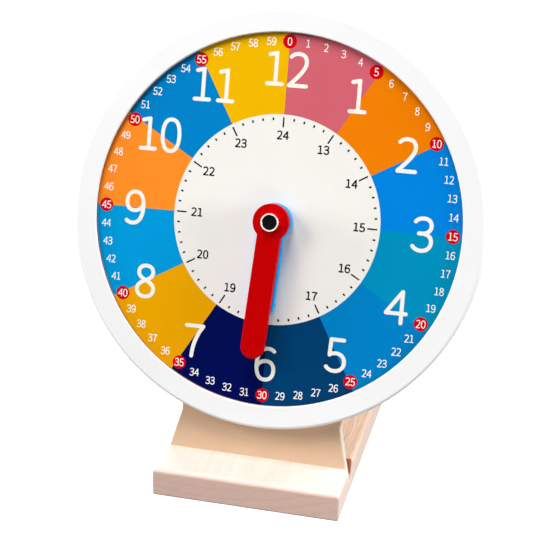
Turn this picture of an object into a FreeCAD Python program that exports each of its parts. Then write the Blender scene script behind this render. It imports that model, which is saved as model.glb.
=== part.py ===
import FreeCAD, Part
import math
import os
import re
import Sketcher

# Teaching clock on a block stand, in millimetres and degrees.
# The part frame has its origin under the middle of the stand, +Z up, and the dial faces -Y.
# The dial frame has its origin in the middle of the dial's printed face: x to the reader's
# right, y up the dial, z out of the dial. It leans back with the clock.

SIZES = {
    # Stand: one pine block with a slot along its whole width
    "stand_width": "137.8",
    "stand_depth": "180",
    "stand_height": "22",
    "stand_corner_round": "1.2",
    "stand_top_round": "3.5",
    "stand_bottom_round": "1.5",
    "lip_depth": "36",
    "lean": "18",
    "slot_depth": "10.4",
    "slot_width": "15.5",
    "slot_round": "2.5",
    "wedge_length": "96",
    "wedge_rise": "1.6",
    "wood_fit": "0.05",
    "overrun": "5",
    # Back board: a disc with a neck that flares towards its foot
    "board_thickness": "9",
    "board_inset": "2",
    "board_bevel": "0.8",
    "neck_inset": "9.5",
    "neck_hollow": "14",
    "neck_flare": "13.8",
    "neck_drop": "36.7",
    # Rim, dial and the spacer that traps the dial against the rim's lip
    "rim_radius": "150.5",
    "rim_width": "16.8",
    "rim_wall": "11",
    "rim_lip": "3.5",
    "rim_round": "2.5",
    "rim_bevel": "0.7",
    "dial_thickness": "3",
    "dial_play": "0.2",
    "spacer_width": "18",
    # Screws through the back board into the rim
    "screw_count": "6",
    "screw_radius": "1.75",
    "screw_head_radius": "3.5",
    "screw_length": "16",
    "screw_tip_room": "1",
    "countersink_angle": "45",
    "cross_length": "4",
    "cross_width": "0.9",
    "cross_depth": "1.1",
    # Arbor, pipe and bushes
    "arbor_radius": "3",
    "arbor_tip_radius": "2.5",
    "running_fit": "0.05",
    "pressed_fit": "0.02",
    "end_play": "0.3",
    "pipe_wall": "1.4",
    "bush_wall": "1.5",
    "bush_flange_width": "4",
    "dial_bush_flange": "0.3",
    "back_bush_flange": "1.2",
    "dial_bush_rise": "2.6",
    # Motion work: twelve turns of the arbor to one of the pipe
    "gear_distance": "30",
    "gear_face": "2.8",
    "layer_gap": "0.6",
    "drive_teeth": "12",
    "idler_wheel_teeth": "36",
    "idler_pinion_teeth": "10",
    "hour_wheel_teeth": "40",
    "pressure_angle": "25",
    "addendum_share": "0.8",
    "dedendum_share": "1.05",
    "backlash": "0.12",
    "web_hole_count": "5",
    "web_hub_radius": "8.5",
    "web_rim": "3.5",
    "stud_radius": "2.5",
    "stud_depth": "7",
    "stud_washer_radius": "5",
    "stud_washer_thickness": "0.4",
    # Hands
    "hand_thickness": "6",
    "hand_hub_radius": "13.1",
    "hand_half_width": "8.5",
    "hand_bevel": "0.6",
    "hour_hand_length": "70",
    "hour_hand_angle": "182.7",
    "minute_hand_length": "98.5",
    "minute_hand_angle": "183.2",
    "hand_collar_radius": "7",
    "hand_collar_thickness": "2.5",
    # Ferrule and plug in front of the minute hand
    "ferrule_radius": "6.4",
    "ferrule_wall": "1",
    "ferrule_length": "3.8",
    "ferrule_base": "1.5",
    "ferrule_bevel": "0.15",
    "plug_thickness": "0.6",
    # Setting knob behind the back board
    "spring_washer_radius": "7",
    "spring_washer_bore": "3.3",
    "spring_washer_thickness": "0.5",
    "spring_washer_height": "1.1",
    "knob_radius": "17",
    "knob_bevel": "1.5",
    "knob_socket": "7",
    "knob_web": "2",
    "knob_screw_radius": "1.5",
    "knob_screw_bite": "6",
    "knob_screw_head_radius": "4.2",
    "knob_screw_head": "2.2",
    "knob_screw_bevel": "0.6",
    "knob_counterbore": "3",
    "grip_count": "12",
    "grip_radius": "4",
    "grip_depth": "1.2",
}

# Levels along the dial frame's z, and places that follow from the sizes
RIM_OPENING = "(rim_radius - rim_width)"
RIM_SEAT = "(rim_radius - rim_wall)"
BOARD_RADIUS = "(rim_radius - board_inset)"
SCREW_CIRCLE = f"(({RIM_SEAT} + {BOARD_RADIUS}) / 2)"
HOLLOW_X = "(stand_width / 2 - neck_inset + neck_hollow)"
HOLLOW_Y = f"(-sqrt(({BOARD_RADIUS} + neck_hollow)^2 - {HOLLOW_X}^2))"
NECK_TOP_X = f"({HOLLOW_X} - neck_hollow * cos(neck_flare))"
NECK_TOP_Y = f"({HOLLOW_Y} - neck_hollow * sin(neck_flare))"
NECK_FOOT_X = f"({NECK_TOP_X} + neck_drop * tan(neck_flare))"
NECK_FOOT_Y = f"({NECK_TOP_Y} - neck_drop)"
GEAR_ROOM = "(2 * gear_face + 3 * layer_gap)"
DIAL_BACK = "(-dial_thickness)"
BOARD_FRONT = f"({DIAL_BACK} - {GEAR_ROOM})"
BOARD_BACK = f"({BOARD_FRONT} - board_thickness)"
FRONT_LAYER = f"({DIAL_BACK} - layer_gap - gear_face)"
REAR_LAYER = f"({BOARD_FRONT} + layer_gap)"
PIPE_RADIUS = "(arbor_radius + running_fit + pipe_wall)"
DIAL_BUSH_RADIUS = f"({PIPE_RADIUS} + running_fit + bush_wall)"
BACK_BUSH_RADIUS = "(arbor_radius + running_fit + bush_wall)"
HOUR_HAND_BACK = "(dial_bush_rise + end_play)"
HOUR_HAND_FRONT = f"({HOUR_HAND_BACK} + hand_thickness)"
PIPE_FRONT = f"({HOUR_HAND_FRONT} + end_play)"
ARBOR_SHOULDER = f"({PIPE_FRONT} + end_play)"
MINUTE_HAND_BACK = f"({ARBOR_SHOULDER} + hand_collar_thickness)"
MINUTE_HAND_FRONT = f"({MINUTE_HAND_BACK} + hand_thickness)"
FERRULE_FLOOR = f"({MINUTE_HAND_FRONT} + ferrule_base)"
FERRULE_FRONT = f"({MINUTE_HAND_FRONT} + ferrule_length)"
FERRULE_BORE = "(ferrule_radius - ferrule_wall)"
BUSH_BACK = f"({BOARD_BACK} - back_bush_flange)"
KNOB_FRONT = f"({BUSH_BACK} - running_fit - spring_washer_height)"
ARBOR_BACK = f"({KNOB_FRONT} - knob_socket)"
KNOB_FLOOR = f"({ARBOR_BACK} - knob_web)"
KNOB_BACK = f"({KNOB_FLOOR} - knob_counterbore)"

# The dial's middle in the part frame: up the leaning neck from the foot of the slot
NECK_REACH = f"(-{NECK_FOOT_Y} - slot_depth)"
DIAL_Y = (
    f"(lip_depth - stand_depth / 2 + {NECK_REACH} * sin(lean) + {BOARD_FRONT} * cos(lean))"
)
DIAL_Z = f"(stand_height + {NECK_REACH} * cos(lean) - {BOARD_FRONT} * sin(lean))"
DIAL_PLACE = f"placement(vector(0; {DIAL_Y}; {DIAL_Z}); rotation(vector(1; 0; 0); 90 - lean))"

doc = FreeCAD.newDocument("teaching_clock")
sheet = doc.addObject("Spreadsheet::Sheet", "sizes")
for row, (alias, number) in enumerate(SIZES.items(), start=1):
    sheet.set(f"A{row}", alias)
    sheet.set(f"B{row}", number)
    sheet.setAlias(f"B{row}", alias)
doc.recompute()

pieces = []


def linked(expression):
    """The expression with each size's name written as a reference to the sheet."""
    return re.sub(
        r"[A-Za-z_]\w*",
        lambda word: f"sizes.{word.group()}" if word.group() in SIZES else word.group(),
        str(expression),
    )


def size(expression):
    """The value of an expression of sizes, as a number."""
    return float(sheet.evalExpression(linked(expression)))


def bind(thing, **properties):
    """Ties each named property of an object to an expression of sizes."""
    for name, expression in properties.items():
        thing.setExpression(name, linked(expression))


def place(piece, where):
    """Ties the placement of a piece to an expression, and lists the piece for writing."""
    piece.setExpression("Placement", linked(where))
    pieces.append(piece)
    return piece


def turned_about_dial(angle):
    """The dial's placement, turned clockwise for the reader by an angle."""
    return f"{DIAL_PLACE} * placement(vector(0; 0; 0); rotation(vector(0; 0; 1); -{angle}))"


def new_body(label, where=DIAL_PLACE):
    body = doc.addObject("PartDesign::Body", label)
    body.Label = label
    return place(body, where)


def new_sketch(body, role, name, level=None):
    """A sketch on one of the body's origin planes, raised along its normal to a level."""
    sketch = body.newObject("Sketcher::SketchObject", f"{body.Label}_{name}")
    plane = [item for item in body.Origin.OriginFeatures if item.Role == role][0]
    sketch.AttachmentSupport = [(plane, "")]
    sketch.MapMode = "FlatFace"
    if level is not None:
        sketch.setExpression("AttachmentOffset.Base.z", linked(level))
    return sketch


def fix_point(sketch, geometry, end, across, up):
    """Holds one point of a sketch at a pair of expressions."""
    for kind, expression in (("DistanceX", across), ("DistanceY", up)):
        index = sketch.addConstraint(Sketcher.Constraint(kind, geometry, end, size(expression)))
        sketch.setExpression(f"Constraints[{index}]", linked(expression))


def add_circle(sketch, radius, across="0", up="0"):
    centre = FreeCAD.Vector(size(across), size(up), 0)
    circle = Part.Circle(centre, FreeCAD.Vector(0, 0, 1), size(radius))
    geometry = sketch.addGeometry(circle)
    fix_point(sketch, geometry, 3, across, up)
    index = sketch.addConstraint(Sketcher.Constraint("Radius", geometry, size(radius)))
    sketch.setExpression(f"Constraints[{index}]", linked(radius))


def add_outline(sketch, corners):
    """A closed outline. A corner is (across, up), and (across, up, radius, hand) where an
    arc of under half a circle leaves it, bending to the left or to the right."""
    points = [FreeCAD.Vector(size(corner[0]), size(corner[1]), 0) for corner in corners]
    runs = []
    for index, corner in enumerate(corners):
        start = points[index]
        finish = points[(index + 1) % len(points)]
        if len(corner) == 2:
            geometry = sketch.addGeometry(Part.LineSegment(start, finish))
            runs.append((geometry, 1, 2))
            continue
        radius = size(corner[2])
        leftward = corner[3] == "left"
        chord = finish - start
        across = FreeCAD.Vector(-chord.y, chord.x, 0).normalize()
        sagitta = math.sqrt(radius ** 2 - (chord.Length / 2) ** 2)
        centre = start + chord / 2 + across * (sagitta if leftward else -sagitta)
        first, last = (start, finish) if leftward else (finish, start)
        angles = [math.atan2(end.y - centre.y, end.x - centre.x) for end in (first, last)]
        circle = Part.Circle(centre, FreeCAD.Vector(0, 0, 1), radius)
        geometry = sketch.addGeometry(Part.ArcOfCircle(circle, *angles))
        runs.append((geometry, 1, 2) if leftward else (geometry, 2, 1))
        bound = sketch.addConstraint(Sketcher.Constraint("Radius", geometry, radius))
        sketch.setExpression(f"Constraints[{bound}]", linked(corner[2]))
    for index, corner in enumerate(corners):
        geometry, start, _ = runs[index]
        before, _, finish = runs[index - 1]
        sketch.addConstraint(Sketcher.Constraint("Coincident", before, finish, geometry, start))
        fix_point(sketch, geometry, start, corner[0], corner[1])


def add_circle_ring(sketch, radius, ring_radius, count):
    """A ring of equal circles, evenly spaced, the first straight above the middle."""
    for index in range(int(size(count))):
        angle = f"({index} * 360 / {count})"
        add_circle(sketch, radius, f"{ring_radius} * sin({angle})", f"{ring_radius} * cos({angle})")


def feature(kind, body, sketch, **properties):
    """A sketched feature of a body, with its sizes tied to the sheet."""
    item = body.newObject(f"PartDesign::{kind}", f"{sketch.Name}_{kind.lower()}")
    item.Profile = (sketch, [""])
    bind(item, **properties)
    return item


def cut(body, sketch, reverse=False, **properties):
    """A pocket that has to take material away."""
    doc.recompute()
    before = body.Shape.Volume
    item = feature("Pocket", body, sketch, **properties)
    item.Reversed = reverse
    doc.recompute()
    if body.Shape.Volume >= before:
        raise RuntimeError(f"{item.Name} cuts nothing")
    return item


def dress(kind, body, test, **properties):
    """A fillet or chamfer on those edges of the body's last feature that pass the test."""
    doc.recompute()
    base = body.Tip
    edges = [f"Edge{n}" for n, edge in enumerate(base.Shape.Edges, start=1) if test(edge)]
    if not edges:
        raise RuntimeError(f"no edge of {body.Label} to dress")
    item = body.newObject(f"PartDesign::{kind}", f"{base.Name}_{kind.lower()}")
    item.Base = (base, edges)
    bind(item, **properties)
    doc.recompute()
    return item


def flat_at(level):
    """A test for edges that lie flat at one of a body's own levels."""
    height = size(level)
    return lambda edge: all(abs(end.Z - height) < 1e-6 for end in edge.Vertexes) and abs(
        edge.valueAt((edge.FirstParameter + edge.LastParameter) / 2).z - height) < 1e-6


def new_turning(label, corners):
    """A piece turned about the dial frame's z from half its section, as (radius, level)."""
    body = new_body(label)
    sketch = new_sketch(body, "XZ_Plane", "section")
    add_outline(sketch, corners)
    revolution = body.newObject("PartDesign::Revolution", f"{label}_turning")
    revolution.Profile = (sketch, [""])
    revolution.ReferenceAxis = (sketch, ["V_Axis"])
    revolution.Angle = 360
    doc.recompute()
    return body


def new_tube(label, inner, outer, low, high):
    return new_turning(label, [(inner, low), (outer, low), (outer, high), (inner, high)])


def leaning(up, out):
    """A place in the dial frame's y and z, as the part frame's y and z."""
    return (f"{DIAL_Y} + {up} * sin(lean) - {out} * cos(lean)",
            f"{DIAL_Z} + {up} * cos(lean) + {out} * sin(lean)")


def cut_cross(body, level, up="0"):
    """A cross recess for a driver, sunk from a head's rear face."""
    sketch = new_sketch(body, "XY_Plane", "cross", level)
    arm = "cross_length / 2"
    half = "cross_width / 2"
    corners = [(half, half), (half, arm), (f"-{half}", arm), (f"-{half}", half),
               (f"-{arm}", half), (f"-{arm}", f"-{half}"), (f"-{half}", f"-{half}"),
               (f"-{half}", f"-{arm}"), (half, f"-{arm}"), (half, f"-{half}"),
               (arm, f"-{half}"), (arm, half)]
    add_outline(sketch, [(x, f"{up} + {y}") for x, y in corners])
    return cut(body, sketch, reverse=True, Length="cross_depth")


def repeat_about_dial(body, item, count):
    """Repeats a body's last feature in a ring about the dial's axis."""
    pattern = body.newObject("PartDesign::PolarPattern", f"{item.Name}_ring")
    pattern.Originals = [item]
    pattern.Axis = ([axis for axis in body.Origin.OriginFeatures if axis.Role == "Z_Axis"][0], [""])
    pattern.Angle = 360
    bind(pattern, Occurrences=count)
    body.Tip = pattern
    doc.recompute()


def build_stand():
    """Pine block: rounded arrises, and a slot across it that leans with the clock."""
    body = new_body("stand_base", "placement(vector(0; 0; 0); rotation(vector(0; 0; 1); 0))")
    plan = new_sketch(body, "XY_Plane", "plan")
    side = "stand_width / 2"
    end = "stand_depth / 2"
    add_outline(plan, [
        (f"-{side}", f"-{end}"), (side, f"-{end}"), (side, end), (f"-{side}", end)])
    feature("Pad", body, plan, Length="stand_height")
    dress("Fillet", body, lambda edge: edge.BoundBox.ZLength > size("stand_height") / 2,
          Radius="stand_corner_round")
    dress("Fillet", body, flat_at("stand_height"), Radius="stand_top_round")
    dress("Fillet", body, flat_at("0"), Radius="stand_bottom_round")
    section = new_sketch(body, "YZ_Plane", "slot")
    floor = NECK_FOOT_Y
    mouth = f"({NECK_FOOT_Y} + slot_depth + slot_width + overrun)"
    rear = f"({BOARD_FRONT} - slot_width)"
    add_outline(section, [
        leaning(floor, rear), leaning(mouth, rear),
        leaning(mouth, BOARD_FRONT), leaning(floor, BOARD_FRONT)])
    slot = cut(body, section, Length="stand_width + 2 * overrun")
    slot.Midplane = True
    doc.recompute()
    rear_y = size(f"{DIAL_Y} - {rear} * cos(lean)") + size(
        f"(stand_height - {DIAL_Z} - {rear} * sin(lean)) * tan(lean)")
    dress("Fillet", body, lambda edge: flat_at("stand_height")(edge)
          and edge.BoundBox.XLength > size("wedge_length")
          and abs(edge.CenterOfMass.y - rear_y) < size("slot_round"), Radius="slot_round")


def build_wedge():
    """Strip that packs the neck against the front wall of the slot."""
    body = new_body("slot_wedge")
    section = new_sketch(body, "YZ_Plane", "section")
    low = f"({BOARD_FRONT} - slot_width + wood_fit)"
    high = f"({BOARD_BACK} - wood_fit)"
    foot = f"({NECK_FOOT_Y} + wood_fit)"
    top = f"({NECK_FOOT_Y} + slot_depth + wedge_rise)"
    add_outline(section, [(foot, low), (top, low), (top, high), (foot, high)])
    pad = feature("Pad", body, section, Length="wedge_length")
    pad.Midplane = True
    doc.recompute()


def build_back_board():
    """Disc and neck in one board: the neck's hollows run tangent into the disc."""
    body = new_body("back_board")
    plan = new_sketch(body, "XY_Plane", "plan", BOARD_BACK)
    joint = f"{BOARD_RADIUS} / ({BOARD_RADIUS} + neck_hollow)"
    joint_x = f"({HOLLOW_X} * {joint})"
    joint_y = f"({HOLLOW_Y} * {joint})"
    add_outline(plan, [
        (f"-{NECK_FOOT_X}", NECK_FOOT_Y),
        (NECK_FOOT_X, NECK_FOOT_Y),
        (NECK_TOP_X, NECK_TOP_Y, "neck_hollow", "right"),
        (joint_x, joint_y, BOARD_RADIUS, "left"),
        ("0", BOARD_RADIUS, BOARD_RADIUS, "left"),
        (f"-{joint_x}", joint_y, "neck_hollow", "right"),
        (f"-{NECK_TOP_X}", NECK_TOP_Y)])
    feature("Pad", body, plan, Length="board_thickness")
    dress("Chamfer", body, lambda edge: flat_at(BOARD_BACK)(edge) or flat_at(BOARD_FRONT)(edge),
          Size="board_bevel")
    bore = new_sketch(body, "XY_Plane", "bore", BOARD_BACK)
    add_circle(bore, f"{BACK_BUSH_RADIUS} + pressed_fit")
    cut(body, bore, reverse=True, Length="board_thickness + overrun")
    stud = new_sketch(body, "XY_Plane", "stud", BOARD_FRONT)
    add_circle(stud, "stud_radius + pressed_fit", "0", "gear_distance")
    cut(body, stud, Length="stud_depth")
    holes = new_sketch(body, "XY_Plane", "screws", BOARD_BACK)
    add_circle_ring(holes, "(screw_radius + wood_fit)", SCREW_CIRCLE, "screw_count")
    cut(body, holes, reverse=True, Length="board_thickness + overrun")
    sinks = new_sketch(body, "XY_Plane", "sinks", BOARD_BACK)
    add_circle_ring(sinks, "(screw_head_radius + wood_fit)", SCREW_CIRCLE, "screw_count")
    cut(body, sinks, reverse=True, Length="screw_head_radius - screw_radius",
        TaperAngle="-countersink_angle")


def build_screws():
    """Countersunk screws through the back board into the rim."""
    body = new_body("back_screws")
    body.AllowCompound = True
    heads = new_sketch(body, "XY_Plane", "heads", BOARD_BACK)
    add_circle_ring(heads, "screw_head_radius", SCREW_CIRCLE, "screw_count")
    feature("Pad", body, heads, Length="screw_head_radius - screw_radius",
            TaperAngle="-countersink_angle")
    shanks = new_sketch(body, "XY_Plane", "shanks", BOARD_BACK)
    add_circle_ring(shanks, "screw_radius", SCREW_CIRCLE, "screw_count")
    feature("Pad", body, shanks, Length="screw_length")
    repeat_about_dial(body, cut_cross(body, BOARD_BACK, SCREW_CIRCLE), "screw_count")


def build_rim():
    """Turned rim: a lip in front of the dial, a seat for it behind, and rounded arrises."""
    body = new_turning("face_rim", [
        (RIM_OPENING, "0"),
        (RIM_OPENING, "rim_lip - rim_bevel"),
        (f"{RIM_OPENING} + rim_bevel", "rim_lip"),
        ("rim_radius - rim_round", "rim_lip", "rim_round", "right"),
        ("rim_radius", "rim_lip - rim_round"),
        ("rim_radius", f"{BOARD_FRONT} + rim_bevel"),
        ("rim_radius - rim_bevel", BOARD_FRONT),
        (RIM_SEAT, BOARD_FRONT),
        (RIM_SEAT, "0")])
    holes = new_sketch(body, "XY_Plane", "screws", BOARD_FRONT)
    add_circle_ring(holes, "(screw_radius + wood_fit)", SCREW_CIRCLE, "screw_count")
    cut(body, holes, reverse=True, Length="screw_length - board_thickness + screw_tip_room")


def build_dial():
    """Dial disc behind the rim's lip, the spacer ring behind it, and the bush in its middle."""
    seated = f"({RIM_SEAT} - dial_play)"
    new_tube("dial_board", f"({DIAL_BUSH_RADIUS} + pressed_fit)", seated, DIAL_BACK, "0")
    new_tube("dial_spacer", f"({seated} - spacer_width)", seated, BOARD_FRONT, DIAL_BACK)
    bore = f"({PIPE_RADIUS} + running_fit)"
    flange = f"({DIAL_BUSH_RADIUS} + bush_flange_width)"
    new_turning("dial_bush", [
        (bore, f"{DIAL_BACK} - dial_bush_flange"), (flange, f"{DIAL_BACK} - dial_bush_flange"),
        (flange, DIAL_BACK), (DIAL_BUSH_RADIUS, DIAL_BACK),
        (DIAL_BUSH_RADIUS, "dial_bush_rise"), (bore, "dial_bush_rise")])


def build_back_bush():
    """Flanged bush for the arbor, pressed into the back board from behind."""
    bore = "(arbor_radius + running_fit)"
    flange = f"({BACK_BUSH_RADIUS} + bush_flange_width)"
    nose = f"({BOARD_FRONT} + end_play)"
    new_turning("back_bush", [
        (bore, BUSH_BACK), (flange, BUSH_BACK), (flange, BOARD_BACK),
        (BACK_BUSH_RADIUS, BOARD_BACK), (BACK_BUSH_RADIUS, nose), (bore, nose)])


def build_arbor():
    """Arbor: stepped for the minute hand in front, drilled for the knob's screw behind."""
    drilled = "(knob_screw_radius + pressed_fit)"
    new_turning("minute_arbor", [
        (drilled, ARBOR_BACK), ("arbor_radius", ARBOR_BACK), ("arbor_radius", ARBOR_SHOULDER),
        ("arbor_tip_radius", ARBOR_SHOULDER), ("arbor_tip_radius", FERRULE_FLOOR),
        ("0", FERRULE_FLOOR), ("0", f"{ARBOR_BACK} + knob_screw_bite + screw_tip_room"),
        (drilled, f"{ARBOR_BACK} + knob_screw_bite + screw_tip_room")])


def build_hand(label, length, angle, back, bore):
    """Hand: a round hub and a straight bar with a round end, its arrises eased."""
    body = new_body(label, turned_about_dial(angle))
    plan = new_sketch(body, "XY_Plane", "plan", back)
    half = "hand_half_width"
    hub = "hand_hub_radius"
    root = f"sqrt({hub}^2 - {half}^2)"
    add_outline(plan, [
        (half, root),
        (half, f"{length} - {half}", half, "left"),
        ("0", length, half, "left"),
        (f"-{half}", f"{length} - {half}"),
        (f"-{half}", root, hub, "left"),
        (f"-{hub}", "0", hub, "left"),
        ("0", f"-{hub}", hub, "left"),
        (hub, "0", hub, "left")])
    feature("Pad", body, plan, Length="hand_thickness")
    front = f"({back} + hand_thickness)"
    dress("Chamfer", body, lambda edge: flat_at(back)(edge) or flat_at(front)(edge),
          Size="hand_bevel")
    hole = new_sketch(body, "XY_Plane", "bore", back)
    add_circle(hole, bore)
    cut(body, hole, reverse=True, Length="hand_thickness + overrun")


def build_hub():
    """Collar between the hands, and the ferrule and plug that close the minute hand's hub."""
    bore = "(arbor_tip_radius + pressed_fit)"
    new_tube("hand_collar", bore, "hand_collar_radius", ARBOR_SHOULDER, MINUTE_HAND_BACK)
    new_turning("hub_ferrule", [
        (bore, MINUTE_HAND_FRONT),
        ("ferrule_radius", MINUTE_HAND_FRONT),
        ("ferrule_radius", f"{FERRULE_FRONT} - ferrule_bevel"),
        ("ferrule_radius - ferrule_bevel", FERRULE_FRONT),
        (f"{FERRULE_BORE} + ferrule_bevel", FERRULE_FRONT),
        (FERRULE_BORE, f"{FERRULE_FRONT} - ferrule_bevel"),
        (FERRULE_BORE, FERRULE_FLOOR),
        (bore, FERRULE_FLOOR)])
    plug = f"({FERRULE_BORE} - pressed_fit)"
    face = f"({FERRULE_FLOOR} + plug_thickness)"
    new_turning("hub_plug", [
        ("0", FERRULE_FLOOR), (plug, FERRULE_FLOOR), (plug, face), ("0", face)])


def build_knob():
    """Spring washer, setting knob with a scalloped grip, and the screw that holds it."""
    near = f"({BUSH_BACK} - running_fit)"
    new_turning("spring_washer", [
        ("spring_washer_bore", KNOB_FRONT),
        ("spring_washer_radius", f"{near} - spring_washer_thickness"),
        ("spring_washer_radius", near),
        ("spring_washer_bore", f"{KNOB_FRONT} + spring_washer_thickness")])
    socket = "(arbor_radius + pressed_fit)"
    passage = "(knob_screw_radius + pressed_fit)"
    well = "(knob_screw_head_radius + wood_fit)"
    body = new_turning("setting_knob", [
        (socket, KNOB_FRONT),
        (socket, ARBOR_BACK),
        (passage, ARBOR_BACK),
        (passage, KNOB_FLOOR),
        (well, KNOB_FLOOR),
        (well, KNOB_BACK),
        ("knob_radius - knob_bevel", KNOB_BACK),
        ("knob_radius", f"{KNOB_BACK} + knob_bevel"),
        ("knob_radius", f"{KNOB_FRONT} - knob_bevel"),
        ("knob_radius - knob_bevel", KNOB_FRONT)])
    grip = new_sketch(body, "XY_Plane", "grip", KNOB_BACK)
    add_circle(grip, "grip_radius", "knob_radius + grip_radius - grip_depth")
    scallop = cut(body, grip, reverse=True, Length=f"{KNOB_FRONT} - {KNOB_BACK}")
    repeat_about_dial(body, scallop, "grip_count")
    head = f"({KNOB_FLOOR} - knob_screw_head)"
    tip = f"({ARBOR_BACK} + knob_screw_bite)"
    screw = new_turning("knob_screw", [
        ("0", head), ("knob_screw_head_radius - knob_screw_bevel", head),
        ("knob_screw_head_radius", f"{head} + knob_screw_bevel"),
        ("knob_screw_head_radius", KNOB_FLOOR),
        ("knob_screw_radius", KNOB_FLOOR), ("knob_screw_radius", tip), ("0", tip)])
    cut_cross(screw, head)


def around(radius, angle):
    return FreeCAD.Vector(radius * math.cos(angle), radius * math.sin(angle), 0)


def gear_outline(module, teeth, first):
    """Involute teeth. At radius r half a tooth spans the half thickness at the pitch circle
    plus inv(pitch) less inv(r), where inv(r) = tan(a) - a and cos(a) = base / r. Each flank
    is the arc through three points of that curve, and runs straight in below the base."""
    pitch = module * teeth / 2
    base = pitch * math.cos(math.radians(size("pressure_angle")))
    tip = pitch + module * size("addendum_share")
    root = pitch - module * size("dedendum_share")
    flank = max(base, root)

    def involute(radius):
        angle = math.acos(min(base / radius, 1))
        return math.tan(angle) - angle

    def half_tooth(radius):
        thickness = math.pi * module / 2 - size("backlash")
        return thickness / (2 * pitch) + involute(pitch) - involute(radius)

    def flank_arc(centre, hand, inward):
        radii = [flank, (flank + tip) / 2, tip]
        if inward:
            radii.reverse()
        return Part.Arc(*[around(r, centre + hand * half_tooth(r)) for r in radii]).toShape()

    step = 2 * math.pi / teeth
    edges = []
    for index in range(teeth):
        centre = math.radians(first) + index * step
        low = centre - half_tooth(flank)
        high = centre + half_tooth(flank)
        if flank > root:
            edges.append(Part.makeLine(around(root, low), around(flank, low)))
        edges.append(flank_arc(centre, -1, False))
        crown = [centre - half_tooth(tip), centre, centre + half_tooth(tip)]
        edges.append(Part.Arc(*[around(tip, angle) for angle in crown]).toShape())
        edges.append(flank_arc(centre, 1, True))
        if flank > root:
            edges.append(Part.makeLine(around(flank, high), around(root, high)))
        gap = [high, centre + step / 2, low + step]
        edges.append(Part.Arc(*[around(root, angle) for angle in gap]).toShape())
    return Part.Wire(Part.__sortEdges__(edges))


def build_gear(label, teeth, mate, facing, low, high, bore, up="0", webbed=False):
    """Gear between two levels. A tooth, or for the mating gear a gap, faces the other axis."""
    count = int(size(teeth))
    module = 2 * size("gear_distance") / (count + int(size(mate)))
    wires = [gear_outline(module, count, facing)]
    circles = [(FreeCAD.Vector(0, 0, 0), size(bore))]
    if webbed:
        holes = int(size("web_hole_count"))
        hub = size("web_hub_radius")
        web = module * (count / 2 - size("dedendum_share")) - size("web_rim")
        circles += [(around((hub + web) / 2, 2 * math.pi * index / holes), (web - hub) / 2)
                    for index in range(holes)]
    for centre, radius in circles:
        circle = Part.Circle(centre, FreeCAD.Vector(0, 0, 1), radius)
        wires.append(Part.Wire(circle.toShape()))
    face = Part.makeFace(wires, "Part::FaceMakerBullseye")
    face.translate(FreeCAD.Vector(0, 0, size(low)))
    gear = doc.addObject("Part::Feature", label)
    gear.Label = label
    gear.Shape = face.extrude(FreeCAD.Vector(0, 0, size(high) - size(low)))
    place(gear, f"{DIAL_PLACE} * placement(vector(0; {up}; 0); rotation(vector(0; 0; 1); 0))")


def build_motion_work():
    """Drive pinion and idler wheel in the rear layer, idler pinion and hour wheel in front."""
    up = 90
    down = 270
    rear_top = f"({REAR_LAYER} + gear_face)"
    front_top = f"({FRONT_LAYER} + gear_face)"
    idler_gap = down + 180 / size("idler_wheel_teeth")
    hour_gap = up + 180 / size("hour_wheel_teeth")
    stud_bore = "stud_radius + running_fit"
    build_gear("drive_pinion", "drive_teeth", "idler_wheel_teeth", up,
               REAR_LAYER, rear_top, "arbor_radius + pressed_fit")
    build_gear("idler_wheel", "idler_wheel_teeth", "drive_teeth", idler_gap,
               REAR_LAYER, rear_top, stud_bore, "gear_distance", webbed=True)
    build_gear("idler_pinion", "idler_pinion_teeth", "hour_wheel_teeth", down,
               rear_top, front_top, stud_bore, "gear_distance")
    build_gear("hour_wheel", "hour_wheel_teeth", "idler_pinion_teeth", hour_gap,
               FRONT_LAYER, front_top, f"{PIPE_RADIUS} + pressed_fit", webbed=True)
    new_tube("hour_pipe", "(arbor_radius + running_fit)", PIPE_RADIUS, FRONT_LAYER, PIPE_FRONT)


def build_idler_stud():
    """Stud in the back board that carries the idler, with a washer under the wheel."""
    above = f"{DIAL_PLACE} * placement(vector(0; gear_distance; 0); rotation(vector(0; 0; 1); 0))"
    foot = f"({BOARD_FRONT} - stud_depth)"
    tip = f"({DIAL_BACK} - end_play)"
    stud = new_turning("idler_stud", [
        ("0", foot), ("stud_radius", foot), ("stud_radius", tip), ("0", tip)])
    washer = new_tube("idler_washer", "(stud_radius + running_fit)", "stud_washer_radius",
                      BOARD_FRONT, f"({BOARD_FRONT} + stud_washer_thickness)")
    for piece in (stud, washer):
        piece.setExpression("Placement", linked(above))


build_stand()
build_wedge()
build_back_board()
build_screws()
build_rim()
build_dial()
build_back_bush()
build_arbor()
build_motion_work()
build_idler_stud()
build_hand("hour_hand", "hour_hand_length", "hour_hand_angle", HOUR_HAND_BACK,
           f"{PIPE_RADIUS} + pressed_fit")
build_hand("minute_hand", "minute_hand_length", "minute_hand_angle", MINUTE_HAND_BACK,
           "arbor_tip_radius + pressed_fit")
build_hub()
build_knob()
doc.recompute()

for item in doc.Objects:
    if "Invalid" in item.State or "Error" in item.State:
        raise RuntimeError(f"{item.Label} is not up to date: {item.State}")
for piece in pieces:
    if piece.Shape.isNull() or not piece.Shape.isValid() or piece.Shape.Volume <= 0:
        raise RuntimeError(f"{piece.Label} has no valid shape")

os.makedirs("parts", exist_ok=True)
for piece in pieces:
    piece.Shape.exportStep(f"parts/{piece.Label}.step")
    print(piece.Label, len(piece.Shape.Solids), round(piece.Shape.Volume, 1))
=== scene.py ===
"""Looks of the geared teaching clock: the dial's print, the finishes and the studio.

The dial frame has its origin in the middle of the dial's face: x runs to the reader's right, y up
the dial and z out of it. The print's own frame is a little turned and shifted on the board, as
paper glued by hand is. Lengths in the print are millimetres in that frame.
"""
import math

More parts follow.
